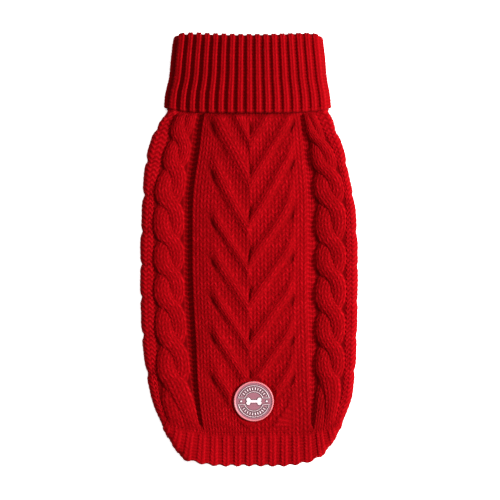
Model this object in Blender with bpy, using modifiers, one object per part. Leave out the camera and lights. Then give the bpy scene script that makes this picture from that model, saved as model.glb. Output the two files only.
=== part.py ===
"""A small dog's knitted sweater, laid flat with its back up.

The cabled back panel is folded round both sides and ends in a lip underneath. A plain belly panel with two
leg holes closes the tube, a ribbed band runs round the hem, and a ribbed collar is folded over once. A round
rubber badge is fixed near the hem. X runs across, Y from the hem to the collar, Z up, in metres.
"""

import math

import bmesh
import bpy
import numpy as np

# Cloth
WALL = 0.003
SEAM_GAP = 0.0003
LAYER_GAP = 0.001
FOLD_RADIUS = 0.0032
NECK_FOLD_RADIUS = 0.002
PUFF_REACH = 0.03

# Body
NECK_SEAM = 0.118
HEM_SEAM = -0.1515
LIP_WIDTH = 0.022
LIP_END_RISE = 0.052
RISE_START = 0.3
BELLY_ARCH = 0.028
NECK_RAMP = (0.088, 0.1125)
TREND_REACH = 0.022
TREND_TOP = 0.060

# Hem band
HEM_DEPTH = 0.0284
HEM_LEAN = math.radians(52)
HEM_TRIM_LEFT, HEM_TRIM_RIGHT = 0.06, 0.19
TRIM_START, TRIM_WIDTH = 0.25, 0.5
TRIM_END, TRIM_END_WIDTH = 1.2, 0.6
FOLD_EASE = 0.0007
FOLD_MIDDLE = 1.15
EASE_REACH = 0.3

# Grid of the panels: columns are counted from the middle of the back to one side.
TOP_COLUMNS = 10
TOP_END = 0.92
HEM_COLUMNS = (0.17, 0.34, 0.48)
HEM_FAN_START, HEM_FAN_END, HEM_FAN_COLUMNS = 0.52, 0.98, 12
FOLD_COLUMNS = 8
LIP_COLUMNS = 4
BACK_ROWS = 23
BELLY_ROWS = 19
ROW_CROWDING = 0.8

# Leg holes
LEG_CENTRE = (0.032, 0.036)
LEG_HOLE = (0.0235, 0.0305)
CUFF_WIDTH = 0.0085
ROUND_STEPS = 32

# Collar
COLLAR_TOP = 0.1807
FLAP_END = 0.1135
FLAP_END_RISE = 0.0025
CORNER_DROP = 0.0030
CORNER_START = 0.75
CORNER_SPREAD = 0.15
MIDDLE_DIP = 0.0022

# Badge
BADGE_CENTRE = (0.0039, -0.1251)
BADGE_RADIUS = 0.0165
BADGE_THICKNESS = 0.0022
BADGE_RIM = 0.0014
BADGE_RECESS = 0.0004

# Outline of the laid body: height, half width to the left, half width to the right.
BODY_OUTLINE = (
    (0.1400, 0.0657, 0.0640),
    (0.1180, 0.0657, 0.0640),
    (0.1155, 0.0659, 0.0642),
    (0.1115, 0.0702, 0.0677),
    (0.1000, 0.0781, 0.0723),
    (0.0835, 0.0839, 0.0789),
    (0.0669, 0.0870, 0.0823),
    (0.0420, 0.0886, 0.0875),
    (0.0100, 0.0903, 0.0903),
    (-0.0200, 0.0906, 0.0906),
    (-0.0500, 0.0902, 0.0903),
    (-0.0827, 0.0881, 0.0893),
    (-0.1076, 0.0845, 0.0876),
    (-0.1242, 0.0806, 0.0850),
    (-0.1375, 0.0756, 0.0802),
    (-0.1508, 0.0698, 0.0747),
    (-0.1641, 0.0615, 0.0656),
    (-0.1770, 0.0500, 0.0530),
    (-0.2300, 0.0000, 0.0020),
)

# Outline of the folded collar: height, half width to the left, half width to the right.
COLLAR_OUTLINE = (
    (0.1820, 0.0618, 0.0610),
    (0.1749, 0.0623, 0.0615),
    (0.1583, 0.0640, 0.0632),
    (0.1417, 0.0658, 0.0648),
    (0.1284, 0.0688, 0.0671),
    (0.1183, 0.0696, 0.0679),
    (0.1100, 0.0696, 0.0679),
)

# Linear colours
KNIT_RED = (0.50, 0.002, 0.010)
BADGE_MAUVE = (0.50, 0.16, 0.20)

LAYER_PITCH = WALL + LAYER_GAP
CLOTH_PITCH = WALL + SEAM_GAP
LEFT, RIGHT = 1, 2
NEWTON_STEPS = 6
NUDGE = 1e-5


def empty_scene():
    for old in list(bpy.data.objects):
        bpy.data.objects.remove(old)


def new_collection(name):
    collection = bpy.data.collections.new(name)
    bpy.context.scene.collection.children.link(collection)
    return collection


def new_material(name, colour, roughness):
    material = bpy.data.materials.new(name)
    material.use_nodes = True
    shader = material.node_tree.nodes["Principled BSDF"]
    shader.inputs["Base Color"].default_value = (*colour, 1)
    shader.inputs["Roughness"].default_value = roughness
    shader.inputs["Metallic"].default_value = 0
    return material


def smooth_step(value):
    """0 below 0, 1 above 1, and an even S-curve between."""
    value = np.clip(value, 0, 1)
    return value * value * (3 - 2 * value)


def column_at(table, column, height):
    """A smooth curve through one column of a table whose first column is the height."""
    rows = np.array(sorted(table))
    heights, values = rows[:, 0], rows[:, column]
    slopes = np.gradient(values, heights)
    row = np.clip(np.searchsorted(heights, height) - 1, 0, len(heights) - 2)
    span = heights[row + 1] - heights[row]
    t = (height - heights[row]) / span
    return (
        (1 + 2 * t) * (1 - t) ** 2 * values[row]
        + t * (1 - t) ** 2 * span * slopes[row]
        + t * t * (3 - 2 * t) * values[row + 1]
        - t * t * (1 - t) * span * slopes[row + 1]
    )


def neck_share(along):
    """0 on the body, rising to 1 where it enters the collar."""
    return smooth_step((along - NECK_RAMP[0]) / (NECK_RAMP[1] - NECK_RAMP[0]))


def belly_height(along):
    """Height of the belly layer's middle surface, which climbs onto the collar's lower flap."""
    return WALL / 2 + CLOTH_PITCH * neck_share(along)


def fold_radius(along):
    return FOLD_RADIUS + (NECK_FOLD_RADIUS - FOLD_RADIUS) * neck_share(along)


def side_line(side, along):
    """Where a side fold starts and the direction the cloth leaves it in, both as (across, along).

    The direction is square to the outline's trend over a few centimetres, so the lip lies without ruffles.
    """
    across = column_at(BODY_OUTLINE, side, along)
    middle = np.minimum(along, TREND_TOP)
    above = column_at(BODY_OUTLINE, side, middle + TREND_REACH)
    below = column_at(BODY_OUTLINE, side, middle - TREND_REACH)
    slope = (above - below) / (2 * TREND_REACH) * (1 - neck_share(along))
    outward = np.stack([np.ones_like(slope), -slope], axis=-1)
    outward /= np.linalg.norm(outward, axis=-1, keepdims=True)
    inset = fold_radius(along) + WALL / 2
    return np.stack([across - inset, along], axis=-1), outward


def folded(flat):
    """Cloth laid out flat, folded under along both side lines.

    The foot of each point on its side line is found by Newton steps. Cloth short of the line stays in the
    back layer. Cloth past it goes round a half circle and then comes back underneath, against the direction
    it left in, in the belly layer.
    """
    placed = np.empty(flat.shape[:-1] + (3,))
    for side, sign in ((LEFT, -1), (RIGHT, 1)):
        here = flat[..., 0] * sign >= 0
        point = flat[here] * (sign, 1)

        def aside(along):
            start, outward = side_line(side, along)
            offset = point - start
            return offset[:, 0] * outward[:, 1] - offset[:, 1] * outward[:, 0]

        foot = point[:, 1].copy()
        for _ in range(NEWTON_STEPS):
            miss = aside(foot)
            foot -= miss * NUDGE / (aside(foot + NUDGE) - miss)
        start, outward = side_line(side, foot)
        past = ((point - start) * outward).sum(-1)
        radius = fold_radius(foot)
        turn = np.clip(past / radius, 0, math.pi)
        under = np.maximum(past - math.pi * radius, 0)
        reach = np.where(past < 0, past, radius * np.sin(turn) - under)
        plan = start + reach[:, None] * outward
        puff = 1 - smooth_step(-past / PUFF_REACH)
        rise = LAYER_PITCH + (2 * radius - LAYER_PITCH) * puff
        height = np.where(past < 0, rise, radius * (1 + np.cos(turn)))
        placed[here] = np.column_stack([sign * plan[:, 0], plan[:, 1], height + belly_height(plan[:, 1])])
    return placed


def hem_height(column):
    """How far down each column of the back panel runs: level across the back, then up along the lip."""
    rise = np.maximum(np.abs(column) - RISE_START, 0) / (2 - RISE_START)
    return HEM_SEAM + LIP_END_RISE * rise**2


def back_flat(column, row):
    """The back panel laid out flat.

    Columns -1 to 1 lie between the side lines, and columns out to -2 and 2 are the folds and the lips.
    Row 0 is the neck seam and row 1 the hem seam.
    """
    column, row = np.broadcast_arrays(column, row)
    along = NECK_SEAM + (hem_height(column) - NECK_SEAM) * row
    flat = np.empty(along.shape + (2,))
    for side, sign in ((LEFT, -1), (RIGHT, 1)):
        here = column * sign >= 0
        amount = np.abs(column[here])
        start, outward = side_line(side, along[here])
        inside = np.minimum(amount, 1)
        length = (amount - inside) * (math.pi * fold_radius(along[here]) + LIP_WIDTH)
        across = inside * start[:, 0]
        plan = np.column_stack([across, along[here]]) + length[:, None] * outward
        flat[here] = plan * (sign, 1)
    return flat


def back_columns(top):
    """Column numbers across the back, given those between the middle and the right fold."""
    share = math.pi * FOLD_RADIUS / (math.pi * FOLD_RADIUS + LIP_WIDTH)
    right = np.concatenate(
        [
            top,
            np.linspace(1, 1 + share, FOLD_COLUMNS + 1),
            np.linspace(1 + share, 2, LIP_COLUMNS + 1)[1:],
        ]
    )
    return np.concatenate([-right[::-1], [0], right])


def grid_object(name, collection, material, points, around=False):
    """An open sheet whose grid of points is given, made a wall of even thickness."""
    rows, columns = points.shape[:2]
    shape = bmesh.new()
    bmesh.ops.create_grid(shape, x_segments=columns - 1, y_segments=rows - 1, size=1)
    for vert in shape.verts:
        column = round((vert.co.x + 1) / 2 * (columns - 1))
        row = round((vert.co.y + 1) / 2 * (rows - 1))
        vert.co = points[row, column]
    if around:
        bmesh.ops.remove_doubles(shape, verts=shape.verts[:], dist=1e-6)
    mesh = bpy.data.meshes.new(name)
    shape.to_mesh(mesh)
    shape.free()
    mesh.shade_smooth()
    mesh.materials.append(material)
    sheet = bpy.data.objects.new(name, mesh)
    collection.objects.link(sheet)
    wall = sheet.modifiers.new("Wall", "SOLIDIFY")
    wall.thickness = WALL
    wall.offset = 0
    wall.use_even_offset = True
    return sheet


def panel_rows(count):
    """Row numbers from the neck seam to the hem seam, close together at both, where the outline turns."""
    share = np.linspace(0, 1, count)
    return share - ROW_CROWDING * np.sin(2 * math.pi * share) / (2 * math.pi)


def make_back_panel(collection, material):
    columns = back_columns(np.linspace(0, TOP_END, TOP_COLUMNS + 1)[1:])
    flat = back_flat(columns[None, :], panel_rows(BACK_ROWS)[:, None])
    return grid_object("back_panel", collection, material, folded(flat))


def hem_back_points(columns, depths):
    """The rib band from the hem seam outwards, folded under with the sides.

    Its lines fan out towards the corners, where the band is a little shallower.
    """
    base = back_flat(columns, np.ones_like(columns))
    lean = HEM_LEAN * smooth_step((np.abs(columns) - RISE_START) / (2 - RISE_START))
    lean *= np.sign(columns)
    direction = np.column_stack([np.sin(lean), -np.cos(lean)])
    ease = FOLD_EASE * smooth_step(1 - np.abs(np.abs(columns) - FOLD_MIDDLE) / EASE_REACH)
    trim = np.where(columns < 0, HEM_TRIM_LEFT, HEM_TRIM_RIGHT)
    trim = trim * smooth_step((np.abs(columns) - TRIM_START) / TRIM_WIDTH)
    trim *= 1 - smooth_step((np.abs(columns) - TRIM_END) / TRIM_END_WIDTH)
    depth = depths[:, None] * (1 - trim) + ease * (1 - depths[:, None] / HEM_DEPTH)
    return folded(base[None] + depth[..., None] * direction[None])


def make_hem_back(collection, material):
    top = np.concatenate([HEM_COLUMNS, np.linspace(HEM_FAN_START, HEM_FAN_END, HEM_FAN_COLUMNS)])
    depths = np.linspace(SEAM_GAP, HEM_DEPTH, 14)
    return grid_object("hem_back", collection, material, hem_back_points(back_columns(top), depths))


def belly_plan(across, row):
    """The belly panel between the lips: across -1 to 1, row 0 at the neck and 1 at the arched hem seam."""
    across, row = np.broadcast_arrays(across, row)
    end = hem_height(np.array(2.0))
    along = NECK_SEAM + (end - NECK_SEAM) * row
    gap = SEAM_GAP / math.cos(HEM_LEAN)
    edges = []
    for side, sign in ((LEFT, -1), (RIGHT, 1)):
        start, outward = side_line(side, along)
        edges.append((start - (LIP_WIDTH + gap) * outward) * (sign, 1))
    share = (across[..., None] + 1) / 2
    plan = edges[0] + (edges[1] - edges[0]) * share
    plan[..., 1] += BELLY_ARCH * (1 - across**2) * row**2
    return plan


def laid(plan):
    """Cloth of the belly layer, given where it lies."""
    return np.concatenate([plan, belly_height(plan[..., 1:])], axis=-1)


def ellipse(radii, count=ROUND_STEPS):
    angles = np.linspace(0, 2 * math.pi, count + 1)
    return np.column_stack([radii[0] * np.cos(angles), radii[1] * np.sin(angles)])


def leg_cutter(name, collection, sign):
    """An oval punch through the belly panel."""
    shape = bmesh.new()
    bmesh.ops.create_cone(
        shape, cap_ends=True, segments=ROUND_STEPS, radius1=1, radius2=1, depth=4 * WALL
    )
    for vert in shape.verts:
        angle = math.atan2(vert.co.y, vert.co.x)
        vert.co.x = LEG_HOLE[0] * math.cos(angle)
        vert.co.y = LEG_HOLE[1] * math.sin(angle)
    mesh = bpy.data.meshes.new(name)
    shape.to_mesh(mesh)
    shape.free()
    cutter = bpy.data.objects.new(name, mesh)
    cutter.location = (sign * LEG_CENTRE[0], LEG_CENTRE[1], WALL / 2)
    cutter.hide_render = True
    cutter.display_type = "WIRE"
    collection.objects.link(cutter)
    return cutter


def make_belly_panel(collection, cutters, material):
    across = np.linspace(-1, 1, 13)
    plan = belly_plan(across[None, :], panel_rows(BELLY_ROWS)[:, None])
    panel = grid_object("belly_panel", collection, material, laid(plan))
    for name, sign in (("left", -1), ("right", 1)):
        hole = panel.modifiers.new(f"Leg hole {name}", "BOOLEAN")
        hole.operation = "DIFFERENCE"
        hole.solver = "EXACT"
        hole.object = leg_cutter(f"leg_cutter_{name}", cutters, sign)
    return panel


def make_hem_belly(collection, material):
    """A rib band below the belly's arched seam, its lines leaning in towards the middle."""
    across = np.linspace(-1, 1, 25)
    base = belly_plan(across, np.ones_like(across))
    ends = hem_back_points(np.array([-2.0, 2.0]), np.array([0, HEM_DEPTH]))[..., :2]
    run = ends[1] - ends[0]
    left, right = np.arctan2(run[:, 0], -run[:, 1])
    lean = np.interp(across, (-1, 0, 1), (left, 0, right))
    direction = np.column_stack([np.sin(lean), -np.cos(lean)])
    depths = np.linspace(SEAM_GAP, HEM_DEPTH, 5)
    plan = base[None] + depths[:, None, None] * direction[None]
    return grid_object("hem_belly", collection, material, laid(plan))


def make_leg_cuff(name, collection, material, sign):
    """A flat rib ring in a leg hole."""
    share = np.linspace(0, 1, 3)[:, None]
    outer = np.array(LEG_HOLE) - SEAM_GAP
    inner = np.array(LEG_HOLE) - CUFF_WIDTH
    centre = np.array([sign * LEG_CENTRE[0], LEG_CENTRE[1]])
    ring = np.stack([ellipse(outer + (inner - outer) * part) for part in share])
    return grid_object(name, collection, material, laid(ring + centre), around=True)


def collar_profile():
    """The collar's middle surface from the neck seam up inside, over the top and down the flap.

    Columns: share of the way from the lower end to the fold, lift above it, radius of the side fold, and
    whether the row is on the flap.
    """
    hairpin = CLOTH_PITCH / 2
    inside = [(share, 0, NECK_FOLD_RADIUS, 0) for share in np.linspace(0, 1, 7)]
    over = []
    for angle in np.linspace(0, math.pi, 7)[1:-1]:
        radius = NECK_FOLD_RADIUS + hairpin * (1 - math.cos(angle))
        over.append((1, hairpin * math.sin(angle), radius, int(angle > math.pi / 2)))
    flap = [(share, 0, NECK_FOLD_RADIUS + CLOTH_PITCH, 1) for share in np.linspace(1, 0, 7)]
    return np.array(inside + over + flap)


def make_collar(collection, material):
    """A ribbed tube folded over once: each row of its profile is a flattened ring."""
    profile = collar_profile()
    straight = np.linspace(-1, 1, 13)
    arc = np.linspace(0, math.pi, 8)[1:-1]
    reach = np.concatenate([straight, np.ones(6), straight[::-1], -np.ones(6), [-1]])
    turn = np.concatenate([0 * straight, arc, math.pi + 0 * straight, math.pi + arc, [2 * math.pi]])
    middle = WALL / 2 + CLOTH_PITCH + LAYER_PITCH / 2
    outmost = NECK_FOLD_RADIUS + CLOTH_PITCH + WALL / 2
    share, lift, radius, flap = (profile[:, [column]] for column in range(4))
    spread = np.abs(reach) + CORNER_SPREAD * np.abs(np.sin(turn))
    corner = np.maximum(spread - CORNER_START, 0) / (1 + CORNER_SPREAD - CORNER_START)
    lowered = CORNER_DROP * corner**2 + MIDDLE_DIP * (1 - reach**2)
    top = COLLAR_TOP - WALL / 2 - CLOTH_PITCH / 2 - lowered
    bottom = np.where(flap > 0, FLAP_END + FLAP_END_RISE * spread**4, NECK_SEAM + SEAM_GAP)
    along = bottom + (top - bottom) * share + lift
    left = column_at(COLLAR_OUTLINE, LEFT, along) - outmost
    right = column_at(COLLAR_OUTLINE, RIGHT, along) - outmost
    centre = np.where(reach < 0, left, right) * reach
    across = centre + radius * np.sin(turn)
    height = middle + radius * np.cos(turn)
    points = np.stack([across, along, height], axis=-1)
    return grid_object("collar", collection, material, points, around=True)


def make_badge(collection, material):
    """A round rubber disc with a raised rim, turned from its profile."""
    inner = BADGE_RADIUS - BADGE_RIM
    profile = [
        (0, BADGE_THICKNESS - BADGE_RECESS),
        (inner - BADGE_RECESS, BADGE_THICKNESS - BADGE_RECESS),
        (inner, BADGE_THICKNESS),
    ]
    rounding = BADGE_RIM / 2
    for angle in np.linspace(math.pi / 2, 0, 4):
        profile.append(
            (
                BADGE_RADIUS - rounding + rounding * math.cos(angle),
                BADGE_THICKNESS - rounding + rounding * math.sin(angle),
            )
        )
    profile += [(BADGE_RADIUS, 0), (0, 0)]
    shape = bmesh.new()
    verts = [shape.verts.new((x, 0, z)) for x, z in profile]
    for first, second in zip(verts, verts[1:]):
        shape.edges.new((first, second))
    mesh = bpy.data.meshes.new("badge")
    shape.to_mesh(mesh)
    shape.free()
    mesh.materials.append(material)
    badge = bpy.data.objects.new("badge", mesh)
    badge.location = (*BADGE_CENTRE, WALL + LAYER_PITCH + SEAM_GAP)
    collection.objects.link(badge)
    turned = badge.modifiers.new("Turned", "SCREW")
    turned.steps = turned.render_steps = ROUND_STEPS
    turned.use_merge_vertices = True
    turned.merge_threshold = 0.00001
    return badge


def make_sweater():
    empty_scene()
    sweater = new_collection("dog_sweater")
    cutters = new_collection("cutters")
    knit = new_material("red_knit", KNIT_RED, 0.85)
    rubber = new_material("badge_rubber", BADGE_MAUVE, 0.5)
    make_back_panel(sweater, knit)
    make_belly_panel(sweater, cutters, knit)
    make_leg_cuff("leg_cuff_left", sweater, knit, -1)
    make_leg_cuff("leg_cuff_right", sweater, knit, 1)
    make_hem_back(sweater, knit)
    make_hem_belly(sweater, knit)
    make_collar(sweater, knit)
    make_badge(sweater, rubber)


make_sweater()
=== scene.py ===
"""A small dog's knitted sweater, laid flat with its back up: the finish and stitches of every piece.

The red cloth is worked out as knitting. Each surface is a grid that counts stitches across and courses
down, so the plain, purl, rib, cable and chevron stitches are real relief, which follows the cloth round
its folds.
"""

import math

import bmesh
import bpy
import numpy as np
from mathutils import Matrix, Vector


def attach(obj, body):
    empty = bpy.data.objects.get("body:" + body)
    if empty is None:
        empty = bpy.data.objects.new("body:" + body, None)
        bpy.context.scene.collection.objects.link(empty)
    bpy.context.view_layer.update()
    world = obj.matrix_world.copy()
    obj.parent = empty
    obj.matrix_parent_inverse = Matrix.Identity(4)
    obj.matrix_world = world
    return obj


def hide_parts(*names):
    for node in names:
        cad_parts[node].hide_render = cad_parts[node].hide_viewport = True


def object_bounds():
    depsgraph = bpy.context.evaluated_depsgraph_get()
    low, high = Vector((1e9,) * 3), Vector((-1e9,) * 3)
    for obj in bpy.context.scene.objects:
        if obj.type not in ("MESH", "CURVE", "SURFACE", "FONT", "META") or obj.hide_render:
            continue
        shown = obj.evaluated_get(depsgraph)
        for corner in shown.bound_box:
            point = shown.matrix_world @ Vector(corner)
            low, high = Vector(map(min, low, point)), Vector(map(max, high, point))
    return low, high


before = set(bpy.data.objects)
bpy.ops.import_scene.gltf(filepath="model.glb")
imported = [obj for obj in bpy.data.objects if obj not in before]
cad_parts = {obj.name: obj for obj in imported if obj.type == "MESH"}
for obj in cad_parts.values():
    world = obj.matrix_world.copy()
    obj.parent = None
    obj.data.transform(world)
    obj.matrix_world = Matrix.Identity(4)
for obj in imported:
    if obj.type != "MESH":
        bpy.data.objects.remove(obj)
cad_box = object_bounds()


# The studio: a pale floor under soft light that comes mostly from the right, and a camera straight above with
# a long lens, which takes in a square of floor a little larger than the sweater.

VIEW_WIDTH = 0.4155
VIEW_CENTRE = (0.0008, 0.0004)
LENS = 90
FLOOR_REACH = 6
FLOOR_DROP = 0.0003
FLOOR_GLOW = 0.6
SKY_LIGHT = 0.30


def add_object(name, data):
    """A new object in the scene, with this data."""
    added = bpy.data.objects.new(name, data)
    bpy.context.scene.collection.objects.link(added)
    return added


def add_material(name):
    """A new material, its tree of nodes and its shader."""
    material = bpy.data.materials.new(name)
    material.use_nodes = True
    return material, material.node_tree, material.node_tree.nodes["Principled BSDF"]


def floor_material():
    """A white table lit from below as well, as for a catalogue, so that the shadow on it stays faint."""
    material, _, shader = add_material("pale_floor")
    shader.inputs["Base Color"].default_value = (0.9, 0.9, 0.9, 1)
    shader.inputs["Roughness"].default_value = 0.9
    shader.inputs["Emission Color"].default_value = (1, 1, 1, 1)
    shader.inputs["Emission Strength"].default_value = FLOOR_GLOW
    return material


def area_light(name, place, target, size, power):
    """A square soft box of this size, facing its target."""
    data = bpy.data.lights.new(name, "AREA")
    data.size = size
    data.energy = power
    light = add_object(name, data)
    direction = np.array(target) - np.array(place)
    light.location = place
    tilt = math.atan2(math.hypot(direction[0], direction[1]), -direction[2])
    light.rotation_euler = (tilt, 0, math.atan2(direction[1], direction[0]) - math.pi / 2)


camera_data = bpy.data.cameras.new("camera")
camera_data.lens = LENS
camera = add_object("camera", camera_data)
camera.location = (*VIEW_CENTRE, VIEW_WIDTH * LENS / camera_data.sensor_width + cad_box[1].z / 2)
bpy.context.scene.camera = camera

floor_mesh = bpy.data.meshes.new("floor")
corners = [(x * FLOOR_REACH, y * FLOOR_REACH, 0) for x, y in ((-1, -1), (1, -1), (1, 1), (-1, 1))]
floor_mesh.from_pydata(corners, [], [(0, 1, 2, 3)])
floor_mesh.materials.append(floor_material())
floor = add_object("floor", floor_mesh)
floor.location.z = -FLOOR_DROP

area_light("key_right", (1.19, 0.05, 0.72), (0, 0, 0), 0.45, 58)
area_light("fill_above", (0.2, 0.4, 1.9), (0, 0, 0), 1.6, 20)
world = bpy.data.worlds.new("studio")
world.use_nodes = True
sky = world.node_tree.nodes["Background"]
sky.inputs["Color"].default_value = (1, 1, 1, 1)
sky.inputs["Strength"].default_value = SKY_LIGHT
bpy.context.scene.world = world
bpy.context.scene.view_settings.view_transform = "Standard"


# The back panel: soft red yarn knitted in one piece, with a panel of nested chevrons between two thick rope
# cables. Sunken purl gutters part them, and purl strips outside the cables run round both sides, where the
# cloth turns under and ends in a plain lip.

WALL = 0.003
SEAM_GAP = 0.0003
LAYER_GAP = 0.001
LAYER_PITCH = WALL + LAYER_GAP
CLOTH_PITCH = WALL + SEAM_GAP
FOLD_RADIUS = 0.0032
NECK_FOLD_RADIUS = 0.002
PUFF_REACH = 0.03
NECK_SEAM = 0.118
HEM_SEAM = -0.1515
LIP_WIDTH = 0.022
LIP_END_RISE = 0.052
RISE_START = 0.3
NECK_RAMP = (0.088, 0.1125)
TREND_REACH = 0.022
TREND_TOP = 0.060
LEFT, RIGHT = 1, 2

# Outline of the laid body: height, half width to the left, half width to the right.
BODY_OUTLINE = (
    (0.1400, 0.0657, 0.0640),
    (0.1180, 0.0657, 0.0640),
    (0.1155, 0.0659, 0.0642),
    (0.1115, 0.0702, 0.0677),
    (0.1000, 0.0781, 0.0723),
    (0.0835, 0.0839, 0.0789),
    (0.0669, 0.0870, 0.0823),
    (0.0420, 0.0886, 0.0875),
    (0.0100, 0.0903, 0.0903),
    (-0.0200, 0.0906, 0.0906),
    (-0.0500, 0.0902, 0.0903),
    (-0.0827, 0.0881, 0.0893),
    (-0.1076, 0.0845, 0.0876),
    (-0.1242, 0.0806, 0.0850),
    (-0.1375, 0.0756, 0.0802),
    (-0.1508, 0.0698, 0.0747),
    (-0.1641, 0.0615, 0.0656),
    (-0.1770, 0.0500, 0.0530),
    (-0.2300, 0.0000, 0.0020),
)

# Edges of the stitch patterns on the left and on the right, from the middle of the back: height, edge of the
# chevron panel, outer edge of the gutter, outer edge of the cable.
LEFT_STRIPS = (
    (0.1180, 0.0355, 0.0420, 0.0555),
    (0.1118, 0.0374, 0.0440, 0.0600),
    (0.0835, 0.0416, 0.0490, 0.0690),
    (0.0486, 0.0465, 0.0540, 0.0777),
    (0.0071, 0.0474, 0.0544, 0.0785),
    (-0.0411, 0.0465, 0.0540, 0.0781),
    (-0.0744, 0.0445, 0.0519, 0.0765),
    (-0.1151, 0.0424, 0.0474, 0.0748),
    (-0.1425, 0.0391, 0.0424, 0.0698),
    (-0.1515, 0.0375, 0.0405, 0.0670),
)
RIGHT_STRIPS = (
    (0.1180, 0.0400, 0.0435, 0.0520),
    (0.1118, 0.0416, 0.0449, 0.0548),
    (0.0835, 0.0449, 0.0507, 0.0690),
    (0.0486, 0.0478, 0.0548, 0.0789),
    (0.0071, 0.0482, 0.0557, 0.0798),
    (-0.0411, 0.0482, 0.0557, 0.0798),
    (-0.0744, 0.0490, 0.0561, 0.0789),
    (-0.1151, 0.0503, 0.0548, 0.0773),
    (-0.1425, 0.0515, 0.0540, 0.0706),
    (-0.1515, 0.0515, 0.0535, 0.0690),
)
LEAST_STRIP = 0.0025

# Stitches from the middle of the back to where each pattern ends, and the column of the cloth there.
CHEVRON_END, GUTTER_END, CABLE_END, SIDE_LINE, LIP_END = 8, 9, 13, 14.5, 20
PATTERN_ENDS = (0, CHEVRON_END, GUTTER_END, CABLE_END, SIDE_LINE, LIP_END)
PATTERN_COLUMNS = (0, 0.53, 0.61, 0.9, 1, 2)
PANEL_COURSES = 67
PER_STITCH = 10
PER_COURSE = 7
COARSE = 4


def smooth_step(value):
    """0 below 0, 1 above 1, and an even S-curve between."""
    value = np.clip(value, 0, 1)
    return value * value * (3 - 2 * value)


def bump(distance, half):
    """1 at no distance, falling evenly to either side: e to the minus square of distance over half."""
    return np.exp(-((distance / half) ** 2))


def column_at(table, column, height):
    """A smooth curve through one column of a table whose first column is the height."""
    rows = np.array(sorted(table))
    heights, values = rows[:, 0], rows[:, column]
    slopes = np.gradient(values, heights)
    row = np.clip(np.searchsorted(heights, height) - 1, 0, len(heights) - 2)
    span = heights[row + 1] - heights[row]
    t = (height - heights[row]) / span
    return (
        (1 + 2 * t) * (1 - t) ** 2 * values[row]
        + t * (1 - t) ** 2 * span * slopes[row]
        + t * t * (3 - 2 * t) * values[row + 1]
        - t * t * (1 - t) * span * slopes[row + 1]
    )


def neck_share(along):
    """0 on the body, rising to 1 where it enters the collar."""
    return smooth_step((along - NECK_RAMP[0]) / (NECK_RAMP[1] - NECK_RAMP[0]))


def belly_height(along):
    """Height of the belly layer's middle surface, which climbs onto the collar's lower flap."""
    return WALL / 2 + CLOTH_PITCH * neck_share(along)


def fold_radius(along):
    """The side fold's radius, smaller where the neck is pinched into the collar."""
    return FOLD_RADIUS + (NECK_FOLD_RADIUS - FOLD_RADIUS) * neck_share(along)


def side_line(side, along):
    """Where a side fold starts and the direction the cloth leaves it in, square to the outline's trend."""
    across = column_at(BODY_OUTLINE, side, along)
    middle = np.minimum(along, TREND_TOP)
    above = column_at(BODY_OUTLINE, side, middle + TREND_REACH)
    below = column_at(BODY_OUTLINE, side, middle - TREND_REACH)
    slope = (above - below) / (2 * TREND_REACH) * (1 - neck_share(along))
    outward = np.stack([np.ones_like(slope), -slope], axis=-1)
    outward /= np.linalg.norm(outward, axis=-1, keepdims=True)
    inset = fold_radius(along) + WALL / 2
    return np.stack([across - inset, along], axis=-1), outward


def folded(flat):
    """Cloth laid out flat, folded under along both side lines.

    The foot of each point on its side line is found by Newton steps. Cloth short of the line stays in the
    back layer; cloth past it goes round a half circle and comes back underneath in the belly layer.
    """
    placed = np.empty(flat.shape[:-1] + (3,))
    for side, sign in ((LEFT, -1), (RIGHT, 1)):
        here = flat[..., 0] * sign >= 0
        point = flat[here] * (sign, 1)

        def aside(along):
            start, outward = side_line(side, along)
            offset = point - start
            return offset[:, 0] * outward[:, 1] - offset[:, 1] * outward[:, 0]

        foot = point[:, 1].copy()
        for _ in range(6):
            miss = aside(foot)
            foot -= miss / ((aside(foot + 1e-5) - miss) / 1e-5)
        start, outward = side_line(side, foot)
        past = ((point - start) * outward).sum(-1)
        radius = fold_radius(foot)
        turn = np.clip(past / radius, 0, math.pi)
        under = np.maximum(past - math.pi * radius, 0)
        reach = np.where(past < 0, past, radius * np.sin(turn) - under)
        plan = start + reach[:, None] * outward
        puff = 1 - smooth_step(-past / PUFF_REACH)
        rise = LAYER_PITCH + (2 * radius - LAYER_PITCH) * puff
        height = np.where(past < 0, rise, radius * (1 + np.cos(turn)))
        placed[here] = np.column_stack([sign * plan[:, 0], plan[:, 1], height + belly_height(plan[:, 1])])
    return placed


def hem_height(column):
    """How far down each column of the back panel runs: level across the back, then up along the lip."""
    rise = np.maximum(np.abs(column) - RISE_START, 0) / (2 - RISE_START)
    return HEM_SEAM + LIP_END_RISE * rise**2


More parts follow.
